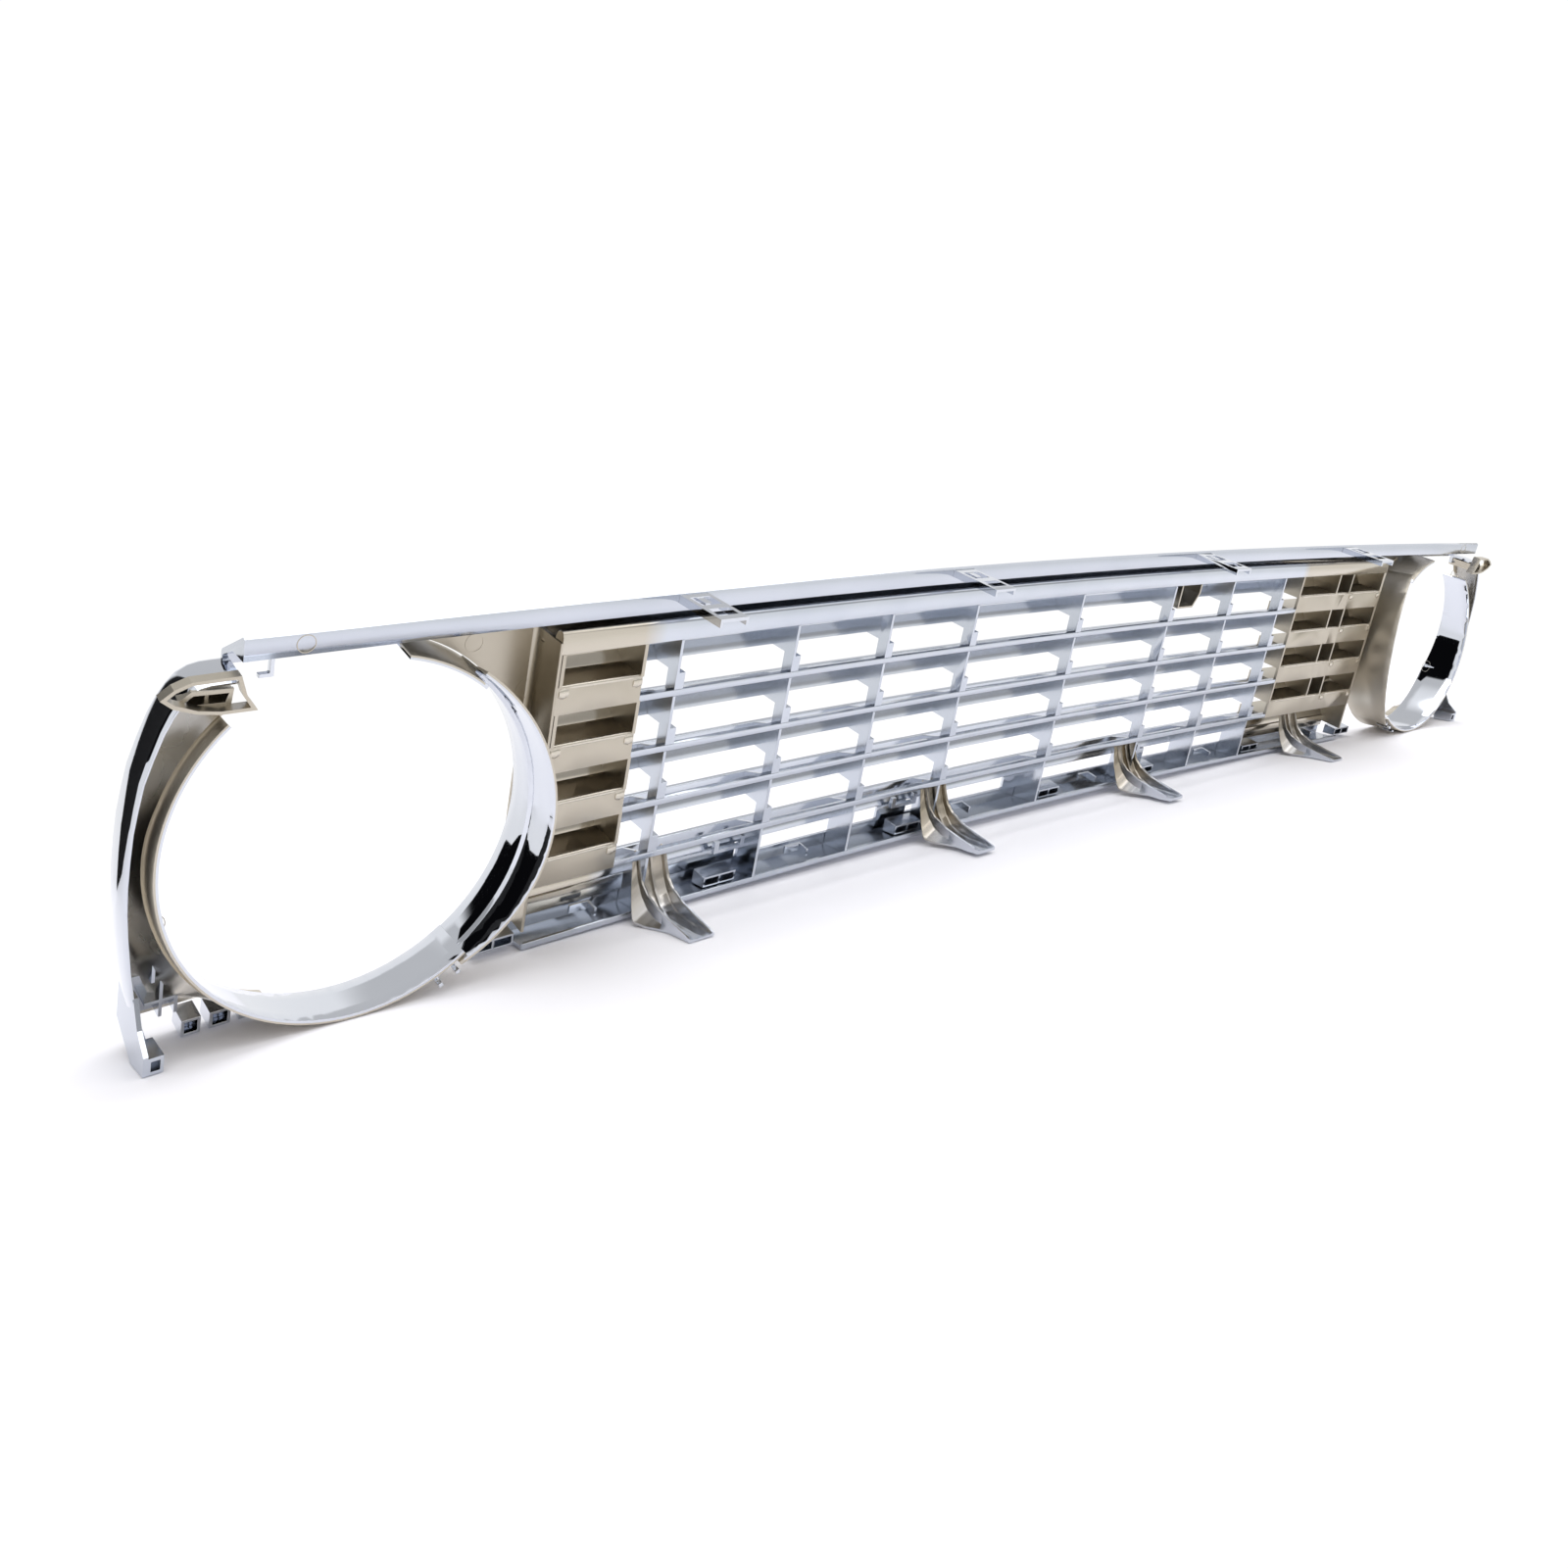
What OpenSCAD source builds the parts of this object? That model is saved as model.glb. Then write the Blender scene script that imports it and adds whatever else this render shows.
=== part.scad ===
// Front grille of a pickup or van with two round headlamp openings.
// Drawn upright on its own face and then leant back on its feet, as it stands on a bench.
// X runs along the grille, Y to the rear, Z up.  In the upright face frame
// x is along the grille, y is rearward depth and z is height up the face.

/* [Overall] */
// Radius of the bow of the face, seen from above
bow_radius = 8494; // [8300:2:8700]
// Angle between the plane of the bow and the face normal, in degrees
bow_tilt = 6.8; // [6.4:0.1:7.2]
// Lean of the face when it stands on its feet, in degrees
lean = 15.75; // [15.6:0.05:15.9]
// Lift that brings the lowest edge to the ground
ground_lift = 1.62; // [1.4:0.01:2.2]
// Shift that centres the standing grille over its own footprint
centre_shift = -40.77; // [-50:0.01:-30]

/* [Louvres] */
// Height of the underside of the upper bar
bar_base = 186; // [185.5:0.1:186.5]
// Pitch of the louvre rows
row_pitch = 35.7; // [35.6:0.05:35.8]
// Height and depth of a rear tie rod
rod = 4; // [3.6:0.1:4.4]
// Thickness of a vertical rib
rib_wall = 2; // [1.6:0.1:2.4]

/* [Headlamps] */
// Distance of each headlamp centre from the middle
lamp_x = 566; // [565:0.5:567]
// Outer radius of the headlamp sleeve where it meets the skin
sleeve_front_r = 99.2; // [98.8:0.1:99.4]
// Outer radius of the headlamp sleeve at its rear rim
sleeve_rear_r = 94.4; // [94:0.1:94.6]
// Length of the headlamp sleeve behind the skin
sleeve_length = 36.5; // [34:0.5:38]

/* [Feet and clips] */
// Width of a support foot over its flanges
foot_w = 21; // [20:0.5:22]
// Rearward reach of a support foot
foot_reach = 52; // [50:0.5:54]
// Width of a top clip
clip_w = 20; // [18:0.5:22]
// Length of the window in a top clip
clip_window = 12; // [10:0.5:14]

/* [Hidden] */
$fn = 64;
rows = 4;
panel_in = 404;
panel_out = 460;
badge_in = 316;
rail_end = 626;
skin_front = -28;
skin_back = -26;
lamp_lean = 6.45;
lamp_y = -7.8;
lamp_z = 99.4;
sleeve_wall = 2.2;
rib_x = [379.7, 289.5, 206, 120.9, 0, -120.9, -206, -286.6];
foot_x = [370.8, 116.8, -116.8, -370.8];
clip_x = [378, 146, -146, -378];
housing_x = [476, 314, 140, -22, -150, -314, -476];
lug_x = [414, 244, 78, -78, -244, -414];
bracket_x = [301, 138, -138, -301];

// Height of the underside of tie rod k; row 0 is the upper bar
function row_z(k) = bar_base - row_pitch * k;
// Height of the underside of front bar k
function bar_z(k) = row_z(k) - 21;
// How far the bow has moved at a place along the grille
function sag(x) = bow_radius - sqrt(bow_radius * bow_radius - x * x);
function bow_y(x) = sag(x) * cos(bow_tilt);
function bow_drop(x) = sag(x) * sin(bow_tilt);
// Height of the ground in the local frame at depth y and place x
function ground(y, x) = tan(lean) * (y + bow_y(x)) + bow_drop(x) - (ground_lift - 0.3) / cos(lean);
// Outer radius of the headlamp sleeve at depth y on its axis
function sleeve_r(y) = sleeve_front_r - (sleeve_front_r - sleeve_rear_r) * y / sleeve_length;

// Leans the upright face back and sets it on the ground
module standing() {
  translate([0, centre_shift, ground_lift]) rotate([-lean, 0, 0]) children();
}

// Sweeps a depth-height section along the bow from x1 to x2
module along_bow(x1, x2) {
  a1 = asin(x1 / bow_radius);
  a2 = asin(x2 / bow_radius);
  rotate([-bow_tilt, 0, 0])
    translate([0, bow_radius, 0])
      rotate([0, 0, a1 - 90])
        rotate_extrude(angle = a2 - a1, $fn = 1440)
          translate([bow_radius, 0]) mirror([1, 0]) rotate(bow_tilt) children();
}

// Puts a straight detail on the bow, square to it
module on_bow(x) {
  translate([x, bow_y(x), -bow_drop(x)]) rotate([0, 0, asin(x / bow_radius)]) children();
}

// A box given by its lowest and highest corner
module span(lo, hi) {
  translate(lo) cube([hi[0] - lo[0], hi[1] - lo[1], hi[2] - lo[2]]);
}

// Extrudes a depth-height outline along x, from x1 to x2
module across(x1, x2) {
  translate([x1, 0, 0]) rotate([90, 0, 90]) linear_extrude(x2 - x1) children();
}

// Extrudes an outline drawn in x and height along the depth, from y1 to y2
module through(y1, y2) {
  translate([0, y2, 0]) rotate([90, 0, 0]) linear_extrude(y2 - y1) children();
}

module sided(right) {
  if (right) mirror([1, 0, 0]) children();
  else children();
}

// ---- rail and bars ----

// Folded hem: front leg, sloping top and rear strip
module top_rail() {
  color("lightsteelblue") {
    along_bow(-rail_end, rail_end) polygon([
      [skin_front, 193], [skin_front, 199], [-27, 200.6], [-1.6, 216], [0, 215],
      [0, 204.5], [-2, 204.5], [-2, 212.4], [skin_back, 197.8], [skin_back, 193]
    ]);
    for (s = [[-rail_end, 1.8 - rail_end], [rail_end - 1.8, rail_end]])
      along_bow(s[0], s[1]) polygon([[-1, 204.5], [-1, 214], [-27, 199], [-27, 197.4], [-14, 204.5]]);
  }
}

// Rounded bar with a thin shelf that reaches forward to the skin
module upper_bar() {
  color("silver") along_bow(-panel_out, panel_out) polygon([
    [skin_back, bar_base], [skin_back, bar_base + 2], [-9.5, bar_base + 2.5], [-8, bar_base + 9],
    [-6.4, bar_base + 12], [-4.4, bar_base + 13.4], [-2.4, bar_base + 13.2], [-0.8, bar_base + 12],
    [0, bar_base + 10], [0, bar_base]
  ]);
}

// Stepped at the back, rolled at the nose; the first one runs on up to the rail
module front_bar(k) {
  b = bar_z(k);
  t = k == 0 ? 193 : b + 14;
  color("gainsboro") along_bow(-panel_out, panel_out) polygon([
    [-21, b], [-23.5, b + 4], [-26, b + 8], [-26, t], [-29, t], [-29, b + 7], [-26.5, b + 2.4],
    [-24, b - 0.6]
  ]);
}

module tie_rod(k) {
  color("lightgrey") along_bow(-badge_in, panel_in)
    translate([-rod, row_z(k)]) square([rod, rod]);
}

// ---- ribs ----

// A plate under each rod and a stout post below it, notched round the rods
module rib(i) {
  color("darkgrey") on_bow(rib_x[i]) for (k = [0 : rows - 1]) {
    z0 = row_z(k);
    z1 = row_z(k + 1);
    across(-rib_wall / 2, rib_wall / 2) polygon([
      [0, z0], [-9, z0], [-26, z0 - 7], [-26, z0 - 13], [-23.5, z0 - 17], [-21, z0 - 21],
      [-9, z0 - 21], [-9, z1], [-rod, z1], [-rod, z1 + rod], [0, z1 + rod]
    ]);
    span([-5.5, -9, z1 + rod], [rib_wall / 2, 0, z0 - 21]);
  }
}

// ---- end panels ----

// Flat bars at the back with stepped recesses between them
module panel_unit(j) {
  z = row_z(j);
  polygon([
    [skin_front, z - 7], [skin_front, z + 2], [-2.4, z + 2], [-2.4, z + 14.7], [-21, z + 14.7],
    [-22.1, z + 16.5], [0, z + 16.5], [0, z], [-26, z], [-26, z - 7]
  ]);
}

// Side wall of one recess
module recess_wall(k, x, t) {
  z = row_z(k);
  t0 = k == 0 ? z : z + 1;
  on_bow(x) across(0, t) polygon([
    [0, t0], [-26, t0], [-26, z - 13], [-23.5, z - 17], [-22.1, z - 19.2], [-21.8, z - 19.9], [0, z - 19.9]
  ]);
}

module panel(x1, x2, walls) {
  for (j = [1 : rows]) along_bow(x1, x2) panel_unit(j);
  for (w = walls, k = [0 : rows - 1]) recess_wall(k, w, 2.2);
}

module blank_panel() {
  color("tan") panel(panel_in, panel_out, [panel_in, panel_out - 2.2]);
}

module badge_panel() {
  color("tan") panel(-panel_out, -badge_in, [-panel_out, -panel_in, -380.8, -badge_in - 2.2]);
}

// ---- headlamp surrounds ----

module at_lamp() {
  translate([lamp_x, lamp_y, lamp_z]) rotate([lamp_lean, 0, 0]) children();
}

// Turns a radius-depth section about the headlamp axis; angles run from outboard over the top
module about_lamp(a1, a2) {
  at_lamp() rotate([90, 0, 0]) rotate([0, 0, a1])
    rotate_extrude(angle = a2 - a1, $fn = 128) mirror([0, 1]) children();
}

// Plug that clears the sleeve, used to open the skins
module lamp_plug() {
  at_lamp() rotate([-90, 0, 0]) translate([0, 0, -40])
    cylinder(h = 80, r1 = sleeve_r(-40) + 0.3, r2 = sleeve_r(40) + 0.3, $fn = 128);
}

// Everything in front of a bowed surface, round one headlamp
module in_front_of(d) {
  along_bow(lamp_x - 140, lamp_x + 140) translate([d - 70, -90]) square([70, 380]);
}

// Drafted sleeve, left open under the rail; the inboard wall steps out part way and runs deeper
module lamp_bezel() {
  color("white") difference() {
    union() {
      for (s = [[101, 130], [232, 406]]) about_lamp(s[0], s[1]) polygon([
        [sleeve_r(-1), -1], [sleeve_r(sleeve_length), sleeve_length],
        [sleeve_r(sleeve_length) - sleeve_wall, sleeve_length], [sleeve_r(-1) - sleeve_wall, -1]
      ]);
      difference() {
        about_lamp(127, 235) polygon([
          [99.5, -0.4], [98.6, 22], [99.2, 25], [100.3, 47.8], [98.3, 47.8], [97, 24.6],
          [94.9, 23.6], [97.3, -0.4]
        ]);
        at_lamp() translate([-103, 47.8, -150]) rotate([0, 0, -15.8]) cube([120, 60, 300]);
      }
    }
    in_front_of(skin_front);
  }
}

// Flat skin between the louvres and the headlamp, with the wall beside the louvres
module face_skin() {
  color("burlywood") {
    difference() {
      along_bow(panel_out, lamp_x) translate([skin_front, 16]) square([2, 177]);
      lamp_plug();
    }
    difference() {
      on_bow(panel_out + 0.1) across(0, 2) translate([skin_back - 0.5, 16]) square([-skin_back + 0.5, 177]);
      about_lamp(120, 240) polygon([[60, 10], [60, 60], [104, 60], [104, 10]]);
    }
  }
}

// Outline of the end of the grille, from the rail down to the foot
end_pts = [
  [629.2, 196.4], [640, 196.3], [647, 195.4], [653, 192], [657, 187.7], [660.6, 182],
  [663, 174.5], [665.7, 163], [668, 151], [669.8, 139.5], [671.3, 127.5], [672, 114], [672.3, 100],
  [671.9, 87], [671, 74.5], [669, 55.6], [667, 41.8], [664, 28], [660, 16]
];

// The same outline moved inwards by a wall thickness
function inset(p, m) = [for (i = [0 : len(p) - 1])
  let (a = p[max(i - 1, 0)], b = p[min(i + 1, len(p) - 1)], l = norm(b - a))
  [p[i][0] + m * (b[1] - a[1]) / l, p[i][1] - m * (b[0] - a[0]) / l]];

function reversed(p) = [for (i = [len(p) - 1 : -1 : 0]) p[i]];

module end_frame() {
  outer = end_pts;
  inner = inset(end_pts, 2.3);
  color("whitesmoke") translate([0, 0, -bow_drop(650)]) {
    intersection() {
      through(-30, 60) polygon(concat(outer, reversed(inner)));
      translate([0, 0, bow_drop(650)]) along_bow(600, 690) translate([skin_front, 0]) square([25, 230]);
    }
    difference() {
      intersection() {
        through(-30, 60) polygon(concat(inset(end_pts, 2), [[600, 16], [600, 193], [629.2, 193]]));
        translate([0, 0, bow_drop(650)]) along_bow(590, 690) translate([skin_front, 0]) square([2, 230]);
      }
      translate([0, 0, bow_drop(650)]) lamp_plug();
      span([560, -60, 189], [629.2, 90, 240]);
    }
  }
}

// Boat-shaped scoop behind the shoulder: a narrow well inside the end wall that opens
// into a wider rim behind it, with an upright plate in the well
module corner_pocket() {
  y0 = bow_y(642) + skin_back;
  y1 = y0 + 24;
  color("rosybrown") translate([0, 0, -bow_drop(642)]) {
    difference() {
      through(y0, y1) polygon([[631, 192], [648, 192], [653, 188], [653, 185], [646, 184.5], [633, 184.5]]);
      through(y0 + 2, y1 + 1) polygon([
        [632.6, 190.4], [647.4, 190.4], [651.4, 187.4], [651.4, 186.4], [645.6, 186.1], [634, 186.1]
      ]);
    }
    difference() {
      through(y1 - 0.05, y1 + 7) polygon([
        [629.5, 201], [650, 200], [657, 197], [662.4, 192.6], [657, 188.2], [647, 184.6], [637, 183.2],
        [621.5, 183.6], [626.5, 191]
      ]);
      through(y1 - 1, y1 + 8) polygon([
        [631, 199.4], [649.6, 198.4], [656, 195.6], [659.6, 192.6], [656, 189.8], [646.6, 186.2],
        [637, 184.8], [624.6, 185.2], [628.2, 191]
      ]);
    }
    difference() {
      through(y1 - 1.6, y1 + 0.5) polygon([
        [630.6, 192.4], [648.4, 192.4], [653.4, 188.4], [653.4, 184.6], [646.2, 184], [636, 183.4],
        [631.5, 183.6]
      ]);
      through(y1 - 3, y1 + 2) polygon([
        [632.6, 190.4], [647.4, 190.4], [651.4, 187.4], [651.4, 186.4], [645.6, 186.1], [634, 186.1]
      ]);
    }
    span([640, y0 + 1.9, 186], [641.6, y0 + 20, 190.5]);
  }
}

// Leg at the foot of the end frame: an outer wall that narrows to a small open box on the
// ground, with the ribbed plate beside it
module corner_leg() {
  x = 655;
  g = ground(16, x);
  f = ground(-2, x);
  color("lightgrey") on_bow(x) {
    across(6.8, 9) polygon([[-26, 18], [-26, 40], [-3, 42], [5, 30], [16, g + 10], [16, g], [-2, f]]);
    difference() {
      across(0, 7) polygon([[-2, f], [-2, f + 11], [16, g + 9], [16, g]]);
      across(1.6, 5.6) polygon([[0, f + 3], [0, f + 9], [17, g + 7.2], [17, g + 2]]);
    }
    across(-15, 7) translate([-26, 18]) square([2, 20]);
    for (s = [-15, -8]) across(s, s + 1.6) translate([-24.1, 18]) square([8, 20]);
    across(-14.9, 0.01) translate([-24.1, 26]) square([8, 1.6]);
    across(-4, -2.4) translate([-26, 37.9]) square([10, 26]);
  }
}

// ---- lower edge ----

// Wrapped-under lip: front wall, floor flange and a small raised rear edge
module valance() {
  color("lightsteelblue") along_bow(-panel_out, panel_out) polygon([
    [-24, 11], [-22, 11], [-22, 1.6], [-2, 5.8], [-2, 7.6], [0, 7.6], [0, 4], [-24, -1]
  ]);
}

// Channel-shaped bracket under the upper bar: an upright wall, a floor and a sloping wall
module bar_bracket() {
  color("tan") on_bow(-145) through(-24, -1) polygon([
    [13, bar_base], [14.6, bar_base], [14.6, bar_base - 21], [-6.6, bar_base - 21],
    [-13.6, bar_base - 9], [-13.6, bar_base], [-12, bar_base], [-12, bar_base - 8.6],
    [-5.8, bar_base - 19.4], [13, bar_base - 19.4]
  ]);
}

// Round boss on the inside of the lip
module round_boss() {
  color("silver") on_bow(398) translate([0, -19.5, 6.4]) rotate([90, 0, 0]) cylinder(h = 2.5, r = 4);
}

// Ribs and blanking plates between the lip and the lowest front bar
module lower_ribs() {
  color("darkgrey") {
    for (x = rib_x) on_bow(x) across(-rib_wall / 2, rib_wall / 2) polygon([
      [-21.9, 1.7], [-2.1, 5.9], [-2.1, 7.7], [0, 7.7], [0, row_z(rows)], [-9, row_z(rows)],
      [-26, row_z(rows) - 7], [-26, 30.3], [-23.6, 26.3], [-21.1, 22.3], [-21.1, 12]
    ]);
    for (s = [[292, 459.9], [130, 160], [1, 20], [-165, -131], [-459.9, -288]])
      along_bow(s[0], s[1]) polygon([
        [-22, 11.1], [-20, 11.1], [-20, 21.6], [-20.8, 22.2], [-22, 22]
      ]);
  }
}

// Tray-shaped foot with two side flanges and a middle rib
module foot(i) {
  x = foot_x[i];
  h = foot_w / 2;
  color("slategrey") on_bow(x) {
    across(-h, h) polygon([
      [-20, 9.6], [-2, 9.6], [2, 9.4], [20, ground(20, x) + 2],
      [foot_reach, ground(foot_reach, x) + 1.4], [foot_reach, ground(foot_reach, x)],
      [20, ground(20, x)],
      [2, ground(2, x) + 1], [0.1, ground(0.1, x) + 1], [0.1, 7.8], [-20, 7.8]
    ]);
    for (s = [-h, h - 1.8]) across(s, s + 1.8) polygon([
      [-19, row_z(rows) - 8], [-19, 8.2], [0.1, 7.8], [2, ground(2, x) + 1], [20, ground(20, x)],
      [foot_reach, ground(foot_reach, x)], [foot_reach, 18.2],
      [36, 18.6], [20, 19], [8, 21.5], [1, 25.7], [-4, 32],
      [-8, row_z(rows) - 3]
    ]);
    across(-0.9, 0.9) polygon([
      [-19, row_z(rows) - 8], [-19, 8.2], [0.1, 8.2], [13, ground(13, x) + 1], [13, 13], [8.6, 21],
      [-3, 29.5], [-7, 39]
    ]);
    translate([0, 0, ground(0, x) + 0.1]) rotate([lean, 0, 0])
      linear_extrude(1.8) polygon([[h - 0.3, 3], [h + 11, 3], [h + 7, 16], [h + 1.5, 34], [h - 0.3, 40]]);
  }
}

// ---- fastenings ----

// Frame-shaped clip that reaches back from the rail's top edge, with a tongue in its window
module top_clip(i) {
  h = clip_w / 2;
  z = 212.6;
  w = clip_window;
  color("gainsboro") on_bow(clip_x[i]) {
    difference() {
      span([-h, 0.1, z], [h, 40, z + 2]);
      span([-h + 3, 6, z - 1], [h - 3, 6 + w, z + 3]);
      span([-h + 3, 24, z - 1], [h - 3, 34, z + 3]);
    }
    for (s = [-h, h - 1.8]) span([s, 0.1, z - 3], [s + 1.8, 40, z + 0.1]);
    span([-2.5, 5.9, z + 0.2], [2.5, 6 + w - 3, z + 1.6]);
  }
}

// Open-backed housings for the lower snap clips
module snap_housings() {
  color("silver") for (x = housing_x) on_bow(x) difference() {
    across(-13, 13) polygon([[-17, 3.4], [-5, 5.9], [-5, 13], [-17, 13]]);
    for (s = [-11.6, 0.8]) span([s, -15.4, 7], [s + 10.8, -4, 11.6]);
  }
}

module locating_lugs() {
  color("silver") for (x = lug_x) on_bow(x) {
    span([-7, -16, 7.6], [7, -14.4, 13]);
    span([-7, -14.5, 7.6], [-5.4, -6, 13]);
  }
}

module lower_brackets() {
  color("gainsboro") for (x = bracket_x) on_bow(x) difference() {
    span([-13, -18, 21.5], [13, -15, 30]);
    span([-9, -19, 24], [9, -14, 31]);
  }
}

// Little open boxes along the lower edge outboard of the headlamp
module corner_tabs() {
  color("lightgrey") for (t = [[601, 612], [616, 626], [630, 639]]) {
    x = (t[0] + t[1]) / 2;
    w = (t[1] - t[0]) / 2;
    on_bow(x) difference() {
      span([-w, -25.9, 5.4], [w, -12, 14.4]);
      span([-w + 1.6, -24, 7], [w - 1.6, -11, 12.8]);
      translate([-x, -bow_y(x), bow_drop(x)]) lamp_plug();
    }
  }
}

// Two small hooks at the lower end of the deep flange
module bezel_hooks() {
  color("silver") at_lamp() for (a = [237, 243]) rotate([0, -a, 0]) {
    span([sleeve_r(30) - 0.5, 24, -1.2], [sleeve_r(30) + 5, 34, 1.2]);
    span([sleeve_r(30) + 3, 33.9, -1.2], [sleeve_r(30) + 5, 38, 1.2]);
  }
}

// Hooked catches under both ends of the rail
module rail_hooks() {
  color("silver") for (s = [0, 1]) mirror([s, 0, 0]) on_bow(613) {
    span([-4, -15, 199.4], [4, -12, 201.4]);
    span([-4, -15, 190], [-2, -12, 199.5]);
    span([-4, -15, 190], [3, -12, 192]);
  }
}

standing() top_rail();
standing() upper_bar();
for (k = [0 : rows])
  standing() front_bar(k);
for (k = [1 : rows])
  standing() tie_rod(k);
for (i = [0 : len(rib_x) - 1])
  standing() rib(i);
standing() blank_panel();
standing() badge_panel();
standing() valance();
standing() lower_ribs();
standing() bar_bracket();
standing() round_boss();
for (i = [0 : len(foot_x) - 1])
  standing() foot(i);
for (i = [0 : len(clip_x) - 1])
  standing() top_clip(i);
standing() snap_housings();
standing() locating_lugs();
standing() lower_brackets();
standing() rail_hooks();
for (right = [false, true]) {
  side = right ? "_right" : "_left";
  standing() sided(right) face_skin();
  standing() sided(right) lamp_bezel();
  standing() sided(right) end_frame();
  standing() sided(right) corner_pocket();
  standing() sided(right) corner_leg();
  standing() sided(right) corner_tabs();
  standing() sided(right) bezel_hooks();
}
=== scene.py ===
import math
import bmesh
import bpy
from mathutils import Matrix, Vector


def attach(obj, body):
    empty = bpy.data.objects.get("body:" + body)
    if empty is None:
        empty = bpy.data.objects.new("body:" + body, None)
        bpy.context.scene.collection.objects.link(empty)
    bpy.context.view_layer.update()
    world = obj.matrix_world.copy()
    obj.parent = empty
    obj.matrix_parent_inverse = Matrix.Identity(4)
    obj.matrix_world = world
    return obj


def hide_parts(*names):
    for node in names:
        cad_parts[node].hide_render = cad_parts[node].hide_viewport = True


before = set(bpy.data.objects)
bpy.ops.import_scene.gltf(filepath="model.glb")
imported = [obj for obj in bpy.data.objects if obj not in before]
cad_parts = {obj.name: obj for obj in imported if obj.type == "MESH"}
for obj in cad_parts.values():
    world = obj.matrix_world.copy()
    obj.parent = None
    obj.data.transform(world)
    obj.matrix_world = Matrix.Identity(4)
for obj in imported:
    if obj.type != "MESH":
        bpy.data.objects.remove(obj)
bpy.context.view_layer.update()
MM = 0.001

# ---- the leaning, bowed face -------------------------------------------------
# Every place on the grille is given as x along it, n rearward depth and h height up
# the upright face, in millimetres, and turned into the standing grille's frame.
LEAN = math.radians(15.75)
TILT = math.radians(6.8)
BOW = 8494.0
CENTRE_Y = -40.77
GROUND = 1.62
SKIN_FRONT = -27.9
SKIN_BACK = -26.0


def sag(x):
    return BOW - math.sqrt(BOW * BOW - x * x)


def face(x, d, h):
    n = d + sag(x) * math.cos(TILT)
    h = h - sag(x) * math.sin(TILT)
    y = n * math.cos(LEAN) + h * math.sin(LEAN) + CENTRE_Y
    z = -n * math.sin(LEAN) + h * math.cos(LEAN) + GROUND
    return Vector((x * MM, y * MM, z * MM))


# ---- materials -----------------------------------------------------------------
# Plated plastic: a mirror-like skin outside, and a thinner, warmer and slightly hazy
# plating inside the recesses, both with the faint waviness of a moulding.
def srgb(text):
    out = []
    for i in (0, 2, 4):
        c = int(text[i:i + 2], 16) / 255
        out.append(c / 12.92 if c <= 0.04045 else ((c + 0.055) / 1.055) ** 2.4)
    return (*out, 1.0)


def add(tree, kind, settings=None, links=None):
    node = tree.nodes.new(kind)
    for key, value in (settings or {}).items():
        if isinstance(key, int) or key in node.inputs:
            node.inputs[key].default_value = value
        else:
            setattr(node, key, value)
    for key, source in (links or {}).items():
        tree.links.new(source, node.inputs[key])
    return node


def plated(name, light, dark, rough, rough_spread, wave_mm, haze_mm):
    mat = bpy.data.materials.new(name)
    mat.use_nodes = True
    t = mat.node_tree
    shader = t.nodes["Principled BSDF"]
    place = add(t, "ShaderNodeTexCoord").outputs["Object"]
    haze = add(t, "ShaderNodeTexNoise", {"Scale": 1000 / haze_mm, "Detail": 3.0}, {"Vector": place})
    tone = add(t, "ShaderNodeMix", {"data_type": "RGBA", 6: srgb(dark), 7: srgb(light)}, {0: haze.outputs[0]})
    gloss = add(t, "ShaderNodeMapRange", {"To Min": rough, "To Max": rough + rough_spread},
                {0: haze.outputs[0]})
    wave = add(t, "ShaderNodeTexNoise", {"Scale": 1000 / wave_mm, "Detail": 1.0}, {"Vector": place})
    bump = add(t, "ShaderNodeBump", {"Strength": 0.25, "Distance": 0.0002}, {"Height": wave.outputs[0]})
    shader.inputs["Metallic"].default_value = 1.0
    t.links.new(tone.outputs[2], shader.inputs["Base Color"])
    t.links.new(gloss.outputs[0], shader.inputs["Roughness"])
    t.links.new(bump.outputs[0], shader.inputs["Normal"])
    return mat


def math_node(tree, operation, a, b=None, c=None):
    # a, b and c are sockets or plain numbers
    settings, links = {"operation": operation}, {}
    for slot_number, value in enumerate((a, b, c)):
        if isinstance(value, bpy.types.NodeSocket):
            links[slot_number] = value
        elif value is not None:
            settings[slot_number] = value
    return add(tree, "ShaderNodeMath", settings, links).outputs[0]


def object_axes(tree):
    place = add(tree, "ShaderNodeTexCoord").outputs["Object"]
    return add(tree, "ShaderNodeSeparateXYZ", None, {0: place})


def tint_over(mat, amount, colour):
    # lays a second plating colour over the first one where amount is 1
    tree = mat.node_tree
    base = tree.nodes["Principled BSDF"].inputs["Base Color"]
    under = base.links[0].from_socket
    over = add(tree, "ShaderNodeMix", {"data_type": "RGBA", 7: srgb(colour)}, {0: amount, 6: under})
    tree.links.new(over.outputs[2], base)


WARM_END = "C6BFB2"

chrome = plated("chrome", "D9DCE3", "CCD0D8", 0.03, 0.03, 30, 70)
strip_metal = plated("chrome_strip", "CDD1D9", "BCC1CA", 0.10, 0.05, 30, 70)
rear = plated("chrome_rear", "D0D4DC", "BCC2CC", 0.14, 0.10, 18, 38)
warm = plated("chrome_warm", "C8C1B4", "AFA798", 0.26, 0.12, 16, 45)
warm_light = plated("chrome_warm_light", "D9D3C7", "C8C0B2", 0.20, 0.12, 16, 40)


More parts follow.
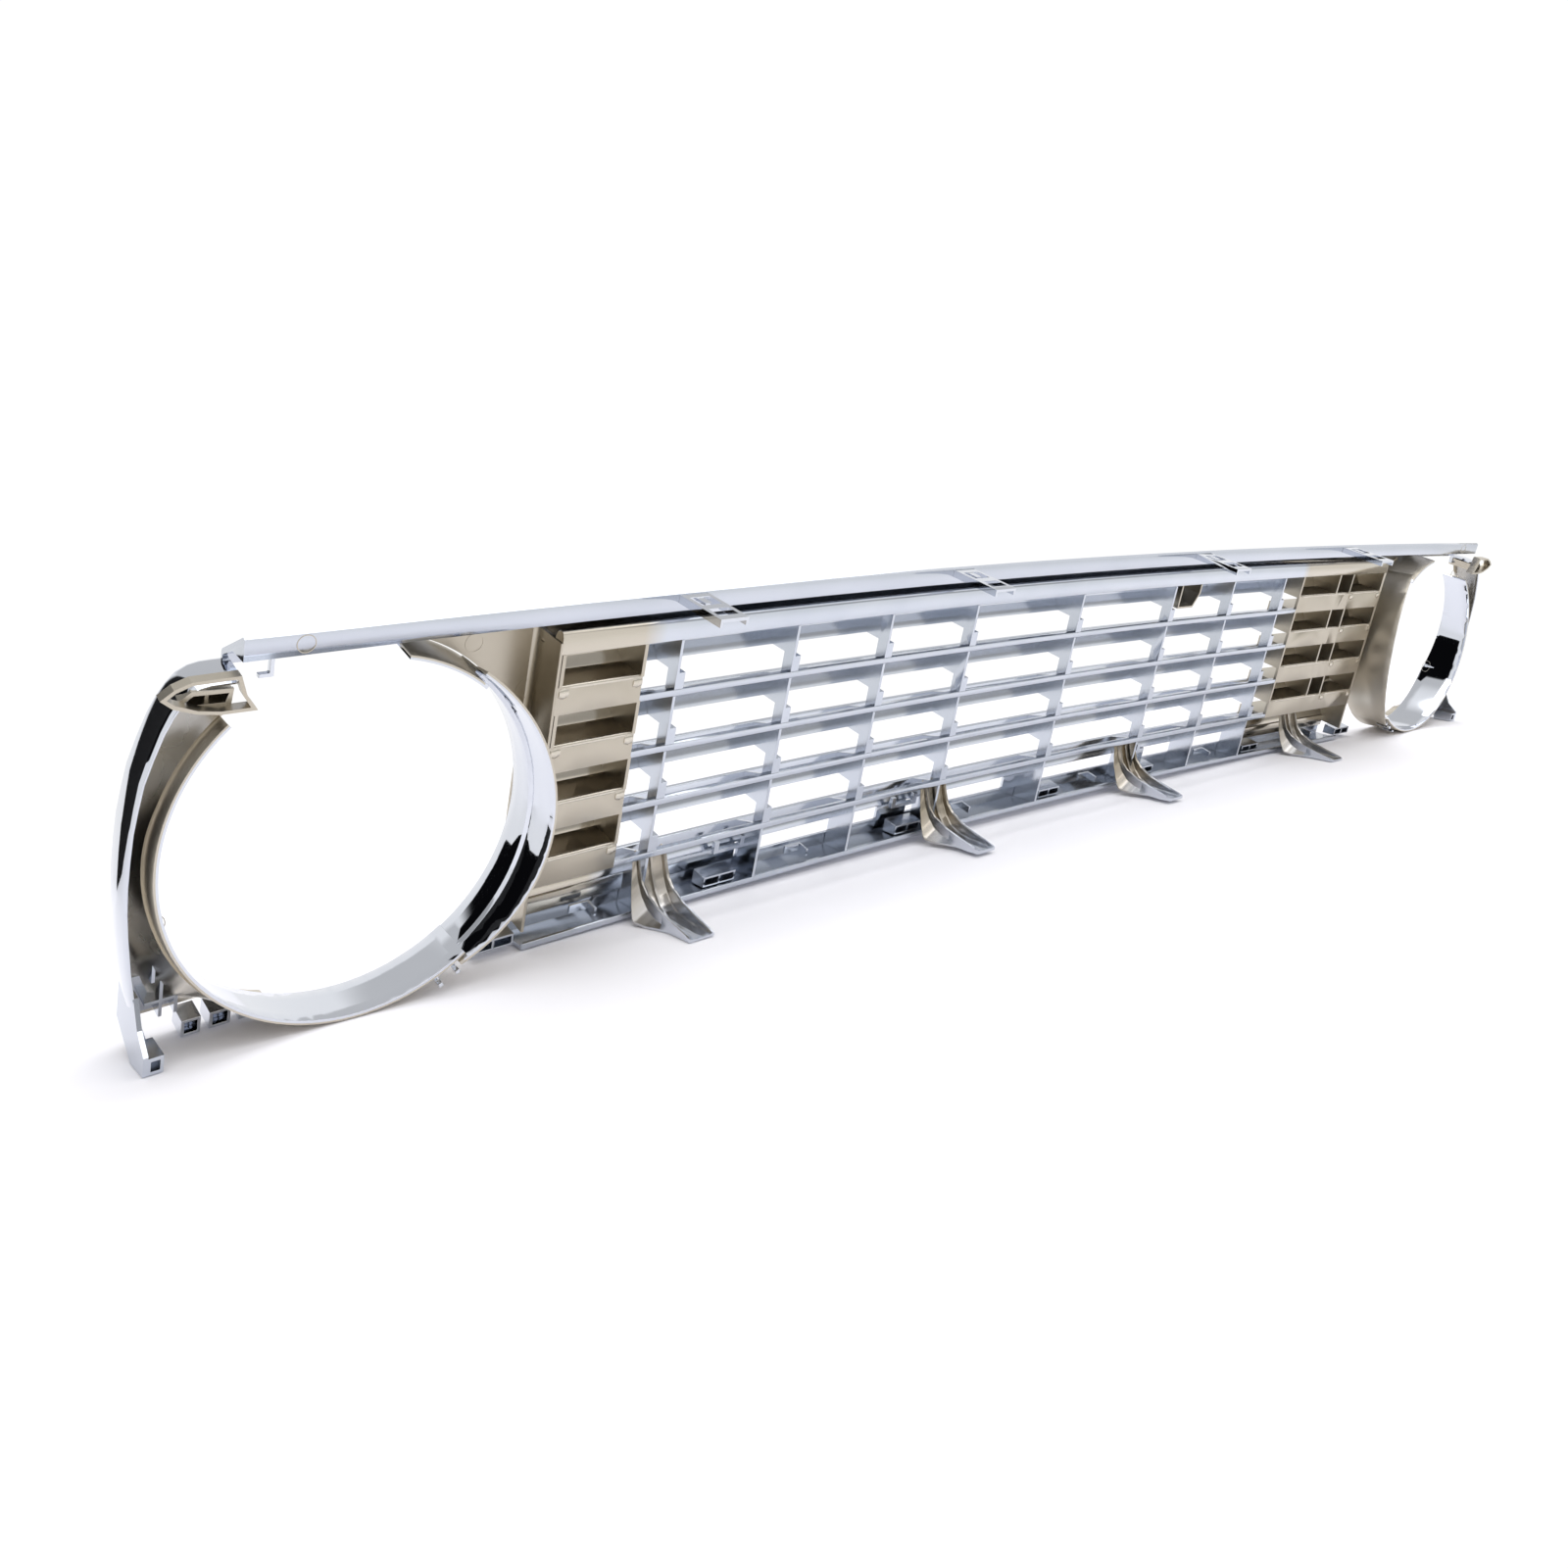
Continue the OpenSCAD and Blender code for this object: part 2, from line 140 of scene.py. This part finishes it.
# The feet are grey at the tip, and warm at the root, where they come out of the recess.
def foot_plating():
    mat = plated("foot_metal", "CDD1D9", "CDD1D9", 0.20, 0.10, 14, 30)
    tree = mat.node_tree
    axes = object_axes(tree)
    root = add(tree, "ShaderNodeMapRange", {"interpolation_type": "SMOOTHSTEP", 1: -0.045, 2: 0.0,
                                            3: 1.0, 4: 0.0}, {0: axes.outputs["Y"]})
    tint_over(mat, root.outputs[0], "A89C87")
    return mat


# Bars run from the bright louvre field into the warm recesses behind the blank panels.
def bar_plating():
    mat = plated("chrome_bars", "D3D7DE", "BFC5CF", 0.13, 0.08, 18, 40)
    tree = mat.node_tree
    axes = object_axes(tree)
    left = add(tree, "ShaderNodeMapRange", {1: 0.392, 2: 0.408}, {0: axes.outputs["X"]})
    right = add(tree, "ShaderNodeMapRange", {1: -0.312, 2: -0.322}, {0: axes.outputs["X"]})
    tint_over(mat, math_node(tree, "MAXIMUM", left.outputs[0], right.outputs[0]), WARM_END)
    return mat


# The headlamp sleeves are mirror bright on the inside, and warm and satin on the outside.
# Which side a place is on follows from its distance from the headlamp's axis: the middle of
# the wall draws in towards the rear, but grows wider in the deep inboard part.
def sleeve_plating():
    axis_y, axis_z = 0.98686, -0.16160
    centre_up = 0.094658
    centre_behind = -0.03708
    mat = plated("chrome_sleeve", "D9DCE3", "CCD0D8", 0.03, 0.03, 30, 70)
    tree = mat.node_tree
    place = add(tree, "ShaderNodeTexCoord").outputs["Object"]
    axes = add(tree, "ShaderNodeSeparateXYZ", None, {0: place})
    out_x = math_node(tree, "SUBTRACT", math_node(tree, "ABSOLUTE", axes.outputs["X"]), 0.566)
    rise = add(tree, "ShaderNodeVectorMath", {"operation": "DOT_PRODUCT", 1: (0, -axis_z, axis_y)},
               {0: place})
    up_by = math_node(tree, "SUBTRACT", rise.outputs["Value"], centre_up)
    back = add(tree, "ShaderNodeVectorMath", {"operation": "DOT_PRODUCT", 1: (0, axis_y, axis_z)},
               {0: place})
    behind = math_node(tree, "SUBTRACT", back.outputs["Value"], centre_behind)
    thin = math_node(tree, "MULTIPLY_ADD", behind, -0.1315, 0.0982)
    past_step = math_node(tree, "MAXIMUM", math_node(tree, "SUBTRACT", behind, 0.022), 0.0)
    deep = math_node(tree, "MULTIPLY_ADD", past_step, 0.065, 0.0976)
    inboard = math_node(tree, "LESS_THAN", out_x, -0.0583)
    middle = add(tree, "ShaderNodeMix", None, {0: inboard, 2: thin, 3: deep})
    flat = add(tree, "ShaderNodeCombineXYZ", None, {0: out_x, 1: up_by})
    radius = add(tree, "ShaderNodeVectorMath", {"operation": "LENGTH"}, {0: flat.outputs[0]})
    outside = math_node(tree, "GREATER_THAN", radius.outputs["Value"], middle.outputs[0])
    tint_over(mat, outside, WARM_END)
    rough = tree.nodes["Principled BSDF"].inputs["Roughness"]
    satin = add(tree, "ShaderNodeMix", {3: 0.42}, {0: outside, 2: rough.links[0].from_socket})
    tree.links.new(satin.outputs[0], rough)
    return mat


foot_metal = foot_plating()
bars = bar_plating()
sleeve = sleeve_plating()

WARM = ("blank_panel", "badge_panel", "face_skin", "corner_pocket", "bar_bracket")
BARS = ("upper_bar", "front_bar", "lower_ribs")
BRIGHT = ("end_frame", "bezel_hooks", "rail_hooks", "top_clip", "corner_tabs")


def node_material(name):
    for starts, material in ((WARM, warm), (BARS, bars), (BRIGHT, chrome), (("top_rail",), strip_metal),
                             (("lamp_bezel",), sleeve)):
        if name.startswith(starts):
            return material
    return rear


for name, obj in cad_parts.items():
    obj.data.materials.clear()
    obj.data.materials.append(node_material(name))
    weld = obj.modifiers.new("weld", "WELD")
    weld.merge_threshold = 0.00001
    bevel = obj.modifiers.new("bevel", "BEVEL")
    bevel.width = 0.0003
    bevel.segments = 2
    bevel.limit_method = "ANGLE"
    bevel.angle_limit = math.radians(25)
    bevel.harden_normals = True


# ---- piece building --------------------------------------------------------------
# Each visual piece is a closed mesh drawn straight in the standing grille's frame.
def piece(name, bm, material, slot, *stands_for, smooth=30):
    bmesh.ops.recalc_face_normals(bm, faces=bm.faces[:])
    for edge in bm.edges:
        if len(edge.link_faces) == 2:
            edge.smooth = edge.calc_face_angle(3.2) < math.radians(smooth)
    for f in bm.faces:
        f.smooth = True
    mesh = bpy.data.meshes.new(name)
    bm.to_mesh(mesh)
    bm.free()
    mesh.materials.append(material)
    obj = bpy.data.objects.new(name, mesh)
    bpy.context.collection.objects.link(obj)
    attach(obj, "root")
    if stands_for:
        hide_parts(*stands_for)
    return obj


def loft(bm, rings):
    # closed tube through rings of points, capped at both ends
    loops = [[bm.verts.new(p) for p in ring] for ring in rings]
    for a, b in zip(loops, loops[1:]):
        for i in range(len(a)):
            j = (i + 1) % len(a)
            bm.faces.new((a[i], a[j], b[j], b[i]))
    bm.faces.new(loops[0][::-1])
    bm.faces.new(loops[-1])


def curve(points, x):
    # smooth interpolation through (x, value) points
    for (x0, y0), (x1, y1) in zip(points, points[1:]):
        if x <= x1:
            t = max(0.0, (x - x0) / (x1 - x0))
            t = t * t * (3 - 2 * t) * 0.4 + t * 0.6
            return y0 + (y1 - y0) * t
    return points[-1][1]


def on_side(side, x, d, h):
    p = face(x, d, h)
    return Vector((p.x * side, p.y, p.z))


def ground(x, d):
    n = d + sag(x) * math.cos(TILT)
    return math.tan(LEAN) * n + sag(x) * math.sin(TILT) - (GROUND - 0.3) / math.cos(LEAN)


# ---- end walls ---------------------------------------------------------------------
# The outer wall of each end: a flat front band, then a band that draws in towards the
# rear, with a rolled nose at the front. The skin round the headlamp opening is a piece of
# its own, in the next section.
END = [(627, 196.5), (634, 196.5), (640, 196.3), (645, 195.2), (650, 192.4), (654, 187.7), (657.4, 182),
       (660.8, 174.5), (664.6, 163), (668, 151), (669.8, 139.5), (671.3, 127.5), (672, 114), (672.3, 100),
       (671.9, 87), (671, 74.5), (669, 55.6), (667, 41.8), (664, 28), (661.6, 20), (660, 14.4)]


def inset(points, i, m):
    # point i of an outline, moved inwards by m
    a, b = points[max(i - 1, 0)], points[min(i + 1, len(points) - 1)]
    length = math.hypot(b[0] - a[0], b[1] - a[1])
    return (points[i][0] + m * (b[1] - a[1]) / length, points[i][1] - m * (b[0] - a[0]) / length)


# Section of the wall: distance in from the outline, and depth
WALL = [(2.0, -28), (0.9, -27.6), (0.2, -26.6), (0.02, -25), (0.02, -14), (0.3, -11), (1.0, -7), (1.9, -3.4),
        (2.4, -2.8), (3.2, -3.0), (3.4, -3.6), (2.6, -8), (2.4, -12), (2.4, -26)]

for side, word in ((1, "left"), (-1, "right")):
    bm = bmesh.new()
    rings = []
    for i in range(len(END)):
        ring = []
        for m, d in WALL:
            x, h = inset(END, i, m)
            ring.append(on_side(side, x, d, h - 0.15))
        rings.append(ring)
    loft(bm, rings)
    piece("end_wall_" + word, bm, chrome, "chrome", "end_frame_" + word, smooth=32)

# ---- coved skins ---------------------------------------------------------------------
# Outboard of each headlamp the skin runs in from the end wall and then sweeps back to the
# rim of the headlamp sleeve, so that from behind it is one warm, hollow crescent.
LAMP_LEAN = math.radians(6.45)
LAMP_X = 566
LAMP_D = -7.8
LAMP_H = 99.4
DROP = 2.2  # how far the bow has dropped at the headlamp, which face() takes off again
COVE = ((0, 0), (0.28, 0.05), (0.5, 0.20), (0.68, 0.42), (0.82, 0.66), (0.93, 0.86), (1.0, 1.0))
COVE_FRONT = ((0.93, 0.84), (0.68, 0.38), (0.28, 0.03))


def sleeve_r(y):
    return 99.2 - 4.8 * y / 36.5


def lamp(side, angle, r, y):
    # a place at radius r and depth y on the headlamp's own axis
    z = r * math.sin(angle)
    n = LAMP_D + y * math.cos(LAMP_LEAN) - z * math.sin(LAMP_LEAN)
    h = LAMP_H + y * math.sin(LAMP_LEAN) + z * math.cos(LAMP_LEAN)
    rearward = n * math.cos(LEAN) + h * math.sin(LEAN) + CENTRE_Y
    height = -n * math.sin(LEAN) + h * math.cos(LEAN) + GROUND
    return Vector((side * (LAMP_X + r * math.cos(angle)) * MM, rearward * MM, height * MM))


def edge_radius(angle):
    # distance from the headlamp centre out to the inside of the end wall
    c, s = math.cos(angle), math.sin(angle)
    best = 200.0
    outline = [(640, 196.5)] + [inset(END, i, 2.3) for i in range(3, len(END))] + [(LAMP_X, 14.4)]
    from_lamp = [(x - LAMP_X, h - LAMP_H - DROP) for x, h in outline]
    for (ax, ah), (bx, bh) in zip(from_lamp, from_lamp[1:]):
        den = c * (bh - ah) - s * (bx - ax)
        if abs(den) > 1e-9:
            r = (ax * (bh - ah) - ah * (bx - ax)) / den
            u = (ax * s - ah * c) / den
            if r > 0 and -1e-6 <= u <= 1 + 1e-6:
                best = min(best, r)
    return best


def swept(start, end, steps):
    # runs straight across the face, but lags in depth, so that it forms a cove
    out = []
    for across, deep in steps:
        q = start.lerp(end, across)
        q.y = start.y + (end.y - start.y) * deep
        out.append(q)
    return out


for side, word in ((1, "left"), (-1, "right")):
    bm = bmesh.new()
    strip = []
    for k in range(113):
        angle = math.radians(-71 + k * 118 / 112)
        outer = max(edge_radius(angle), 100.2)
        room = max(0.0, min(1.0, (outer - 99.5) / 8.0))
        x, h = LAMP_X + outer * math.cos(angle), LAMP_H + DROP + outer * math.sin(angle)
        edge_back = on_side(side, x, SKIN_BACK, h)
        edge_front = on_side(side, x, SKIN_FRONT, h)
        rim_y = 27.0 - 6.0 * (1 - room)
        rim_r = sleeve_r(rim_y) + 0.15
        rim_back = lamp(side, angle, rim_r + 0.9, rim_y)
        rim_front = lamp(side, angle, rim_r - 0.6, rim_y - 0.6)
        strip.append(swept(edge_back, rim_back, COVE) + [rim_front]
                     + swept(edge_front, rim_front, COVE_FRONT) + [edge_front])
    loft(bm, strip)
    piece("coved_skin_" + word, bm, warm_light, "chrome_back", smooth=50)

# ---- recessed skins --------------------------------------------------------------------
# Inboard of each headlamp a flat skin runs up to the wall beside the louvres, and turns
# into that wall through a small fillet; its edge stays clear of the headlamp opening.
SKIN_LOW, SKIN_HIGH = 16.1, 192.9
FILLET = [(460.2, SKIN_FRONT), (466, SKIN_FRONT), (466, SKIN_BACK), (464.4, -25.6), (463.2, -24.7),
          (462.5, -23.3), (462.2, -21.5), (462.1, -0.4), (461.7, -0.1), (460.6, -0.1), (460.2, -0.4)]


def skin_hole(angle):
    # radius of the skin's hole, which is wider low down on the inboard side
    if angle <= math.pi:
        return 100.5
    return 100.5 + 17.0 * max(0.0, -math.cos(2 * angle - 1.5 * math.pi)) ** 0.8


def skin_reach(angle):
    # distance from the headlamp centre to the louvre wall, the rail or the lower edge
    c, s = math.cos(angle), math.sin(angle)
    far = [(462.6 - LAMP_X) / c if c < -1e-6 else 500]
    if s > 1e-6:
        far.append((SKIN_HIGH - LAMP_H) / s)
    if s < -1e-6:
        far.append((SKIN_LOW - LAMP_H) / s)
    return min(far)


for side, word in ((1, "left"), (-1, "right")):
    bm = bmesh.new()
    strip = []
    for k in range(121):
        angle = math.radians(92 + k * 131 / 120)
        outer = skin_reach(angle)
        inner = min(outer - 0.3, skin_hole(angle))
        ring = []
        for r, d in ((inner, SKIN_BACK), (outer, SKIN_BACK), (outer, SKIN_FRONT), (inner, SKIN_FRONT)):
            lower_by = 2.0 * max(0.0, math.sin(angle))
            h = LAMP_H + 2.4 + r * math.sin(angle) - lower_by
            ring.append(on_side(side, LAMP_X + r * math.cos(angle), d, h))
        strip.append(ring)
    loft(bm, strip)
    loft(bm, [[on_side(side, x, d, h) for x, d in FILLET] for h in (SKIN_LOW, 52.2, 102.2, 152.2, SKIN_HIGH)])
    piece("recess_skin_" + word, bm, warm, "chrome_back", "face_skin_" + word, smooth=50)

# ---- feet --------------------------------------------------------------------------
# Each foot is a tray that curves down from the lowest bar and out over the bench, with a
# flange up each side, a low rib along the middle and a flare on one side at its root.
# Heights of the tray and of its flanges against depth
TRAY = [(-12, 41), (-9, 38), (-7, 32), (-3, 24), (3, 17), (10, 12.6), (18, 11.2), (28, 12.2), (40, 14.8),
        (52, 18)]
FLANGE = [(-12, 42), (-8, 41), (-5, 37), (-3, 32), (1, 26), (8, 21.8), (20, 19.2), (36, 18.7), (48, 18.7),
          (52, 18.3)]
FOOT_X = (370.8, 116.8, -116.8, -370.8)
FOOT_STEPS = 40


def tray_section(x0, d):
    # section across a foot at depth d, as places beside its middle and heights
    floor_h = ground(x0, d) + 0.12
    top = max(curve(TRAY, d), floor_h + 1.3)
    under = max(top - 2.2, floor_h)
    rim = max(curve(FLANGE, d), top + 0.4)
    rib = min(rim - 0.5, top + max(0.3, 3.0 * (1 - d / 16.0)))
    flare = 9.0 * max(0.0, 1 - abs(d - 8) / 24.0) ** 1.2
    half = 10.4 - 0.03 * max(d, 0)
    low_edge = under if flare < 0.05 else max(floor_h, under - 4.5 * flare / 9.0)
    flange = [(half - 2.8, top), (half - 2.0, top + 0.8), (half - 1.9, rim - 0.5), (half - 1.3, rim + 0.2),
              (half - 0.5, rim + 0.35), (half, rim)]
    near_side = [(-half, under)] + [(-x, h) for x, h in reversed(flange)]
    middle = [(-1.2, top), (-0.8, rib), (0.8, rib), (1.2, top)]
    flared = [(half + 0.05, top + 1.0), (half + flare + 0.1, low_edge + 1.4), (half + flare + 0.1, low_edge),
              (half, low_edge)]
    return near_side + middle + flange + flared


for i, x0 in enumerate(FOOT_X):
    bm = bmesh.new()
    turn_by = math.asin(x0 / BOW)
    rings = []
    for k in range(FOOT_STEPS + 1):
        d = -11.8 + 63.6 * k / FOOT_STEPS
        rings.append([face(x0 + x - d * math.sin(turn_by), d, h) for x, h in tray_section(x0, d)])
    loft(bm, rings)
    piece("foot_tray_%d" % (i + 1), bm, foot_metal, "chrome", "foot_%d" % (i + 1), smooth=38)

# ---- moulded marks -------------------------------------------------------------------
# Faint raised rings left by the ejector pins, and the rounded beads and end nubs along
# the flat bars of the blank panels.
def mark(bm, side, x, d, h, radius):
    section = ((radius - 0.25, -0.1), (radius - 0.2, 0.16), (radius + 0.2, 0.16), (radius + 0.25, -0.1))
    rings = []
    for k in range(33):
        a = 2 * math.pi * k / 32
        rings.append([on_side(side, x + r * math.cos(a), d + out_by, h + r * math.sin(a))
                      for r, out_by in section])
    for a, b in zip(rings, rings[1:]):
        va = [bm.verts.new(p) for p in a]
        vb = [bm.verts.new(p) for p in b]
        for i in range(4):
            bm.faces.new((va[i], va[(i + 1) % 4], vb[(i + 1) % 4], vb[i]))


def bead(bm, side, x1, x2, d, h, radius, squash=1.0):
    rings = []
    count = max(2, int(abs(x2 - x1) / 12) + 1)
    for k in range(count + 1):
        x = x1 + (x2 - x1) * k / count
        size = radius * (0.75 if k in (0, count) else 1.0)
        turns = (2 * math.pi * j / 14 for j in range(14))
        rings.append([on_side(side, x, d + size * math.cos(a), h + squash * size * math.sin(a))
                      for a in turns])
    loft(bm, rings)


PIN_MARKS = ((501, SKIN_BACK, 187.6, 5.2), (466.5, SKIN_BACK, 156, 5.2), (600, 0, 210, 4.4),
             (652, SKIN_BACK, 172, 5.0), (653, SKIN_BACK, 62, 6.0))
bm = bmesh.new()
for side in (1, -1):
    for x, d, h, radius in PIN_MARKS:
        mark(bm, side, x, d, h, radius)
bmesh.ops.remove_doubles(bm, verts=bm.verts[:], dist=1e-6)
piece("pin_marks", bm, warm, "chrome_back")

BAR_BASE = 186
ROW_PITCH = 35.7
row_heights = [BAR_BASE - ROW_PITCH * j for j in range(1, 5)]
bm = bmesh.new()
for side in (1, -1):
    for z in row_heights:
        bead(bm, side, 405, 459, -1.5, z + 15.8, 1.7)
        bead(bm, side, 405, 411, -1.2, z + 12.6, 2.5, 1.5)
        bead(bm, side, 453.5, 459.4, -1.2, z + 12.6, 2.5, 1.5)
for z in row_heights:
    bead(bm, -1, 318, 402, -1.5, z + 15.8, 1.7)
piece("panel_beads", bm, warm_light, "chrome_back")

# ---- studio --------------------------------------------------------------------
# A white paper floor in a white room. A dark wall stands to the front left, and the ceiling
# over the front and a low band at the rear are dimmer than the rest, so that the plating has
# something to reflect.
bpy.ops.mesh.primitive_plane_add(size=30, location=(0, 0, -0.0002))
floor = bpy.context.object
floor.name = "floor"
paper = bpy.data.materials.new("paper")
paper.use_nodes = True
pt = paper.node_tree
paper_shader = pt.nodes["Principled BSDF"]
paper_shader.inputs["Base Color"].default_value = srgb("FAF9FD")
paper_shader.inputs["Roughness"].default_value = 0.95
paper_shader.inputs["Specular IOR Level"].default_value = 0.0
# the paper takes shadows close to the grille, and is evenly white further off
spot = object_axes(pt)
along = math_node(pt, "ABSOLUTE", spot.outputs["X"])
past_end = math_node(pt, "MAXIMUM", math_node(pt, "SUBTRACT", along, 0.66), 0.0)
offset = add(pt, "ShaderNodeCombineXYZ", None, {0: past_end, 1: spot.outputs["Y"]})
away = add(pt, "ShaderNodeVectorMath", {"operation": "LENGTH"}, {0: offset.outputs[0]})
fade = add(pt, "ShaderNodeMapRange", {"interpolation_type": "SMOOTHSTEP", 1: 0.05, 2: 0.62},
           {0: away.outputs["Value"]})
glow = add(pt, "ShaderNodeEmission", {"Color": srgb("FFFFFF"), "Strength": 1.03})
mixed = add(pt, "ShaderNodeMixShader", None,
            {0: fade.outputs[0], 1: paper_shader.outputs[0], 2: glow.outputs[0]})
pt.links.new(mixed.outputs[0], pt.nodes["Material Output"].inputs[0])
floor.data.materials.append(paper)

world = bpy.data.worlds.new("studio")
bpy.context.scene.world = world
world.use_nodes = True
wt = world.node_tree
sky = wt.nodes["Background"]
ray = add(wt, "ShaderNodeTexCoord").outputs["Generated"]
axes = add(wt, "ShaderNodeSeparateXYZ", None, {0: ray})
heading = math_node(wt, "ARCTAN2", axes.outputs["X"], axes.outputs["Y"])


def band(source, start, end, soft):
    # 1 between start and end, with soft edges
    rise = add(wt, "ShaderNodeMapRange", {"interpolation_type": "SMOOTHSTEP", 1: start - soft,
                                          2: start + soft}, {0: source})
    fall = add(wt, "ShaderNodeMapRange", {"interpolation_type": "SMOOTHSTEP", 1: end - soft, 2: end + soft,
                                          3: 1.0, 4: 0.0}, {0: source})
    return math_node(wt, "MULTIPLY", rise.outputs[0], fall.outputs[0])


wall = math_node(wt, "MULTIPLY", band(heading, 1.95, 2.75, 0.03), band(axes.outputs["Z"], -0.05, 0.75, 0.02))
ceiling = math_node(wt, "MULTIPLY", band(axes.outputs["Y"], -2.0, -0.25, 0.06),
                    band(axes.outputs["Z"], 0.46, 0.86, 0.05))
room = math_node(wt, "MULTIPLY", band(axes.outputs["Y"], 0.25, 2.0, 0.10),
                 band(axes.outputs["Z"], 0.02, 0.34, 0.05))
dark = math_node(wt, "MAXIMUM", wall, math_node(wt, "MULTIPLY", ceiling, 0.35))
dark = math_node(wt, "MAXIMUM", dark, math_node(wt, "MULTIPLY", room, 0.55))
tint = add(wt, "ShaderNodeMix", {"data_type": "RGBA", 6: srgb("FFFFFF"), 7: srgb("0B0B0D")}, {0: dark})
wt.links.new(tint.outputs[2], sky.inputs["Color"])
sky.inputs["Strength"].default_value = 1.05


# dark card beside the left end, seen in the headlamp sleeve
bpy.ops.mesh.primitive_plane_add(size=1, location=(0.90, -0.24, 0.22), rotation=(math.radians(90), 0, 0))
card = bpy.context.object
card.name = "dark_card"
card.scale = (0.27, 0.44, 1)
felt = bpy.data.materials.new("felt")
felt.use_nodes = True
felt.node_tree.nodes["Principled BSDF"].inputs["Base Color"].default_value = srgb("070708")
felt.node_tree.nodes["Principled BSDF"].inputs["Roughness"].default_value = 1.0
card.data.materials.append(felt)

# wide soft panel overhead
overhead = bpy.data.lights.new("overhead", "AREA")
overhead.shape = "RECTANGLE"
overhead.size = 4.0
overhead.size_y = 3.2
overhead.energy = 60
light = bpy.data.objects.new("overhead", overhead)
light.location = (-0.2, 0.2, 3.0)
light.rotation_euler = (Vector((-0.2, 0, 0)) - light.location).to_track_quat("-Z", "Y").to_euler()
bpy.context.collection.objects.link(light)

# ---- camera --------------------------------------------------------------------
# Low, close and behind the left end, looking along the grille.
FOCAL_LENGTH = 28.5525
LENS_SHIFT = -0.18525
yaw, pitch, roll = 0.67197, 0.02, 0.005026
ahead = Vector((-math.sin(yaw) * math.cos(pitch), -math.cos(yaw) * math.cos(pitch), -math.sin(pitch)))
level = ahead.cross(Vector((0, 0, 1))).normalized()
upright = level.cross(ahead)
camera_x = level * math.cos(roll) + upright * math.sin(roll)
camera_y = upright * math.cos(roll) - level * math.sin(roll)
lens = bpy.data.cameras.new("camera")
lens.sensor_width = 36
lens.lens = FOCAL_LENGTH
lens.shift_y = LENS_SHIFT
lens.clip_start = 0.01
camera = bpy.data.objects.new("camera", lens)
turn = Matrix((camera_x, camera_y, -ahead)).transposed().to_4x4()
stand = Matrix.Translation((0.7833, (658.5 + CENTRE_Y) * MM, (275.5 + GROUND) * MM))
camera.matrix_world = stand @ turn
bpy.context.collection.objects.link(camera)
bpy.context.scene.camera = camera
bpy.context.scene.view_settings.view_transform = "Standard"
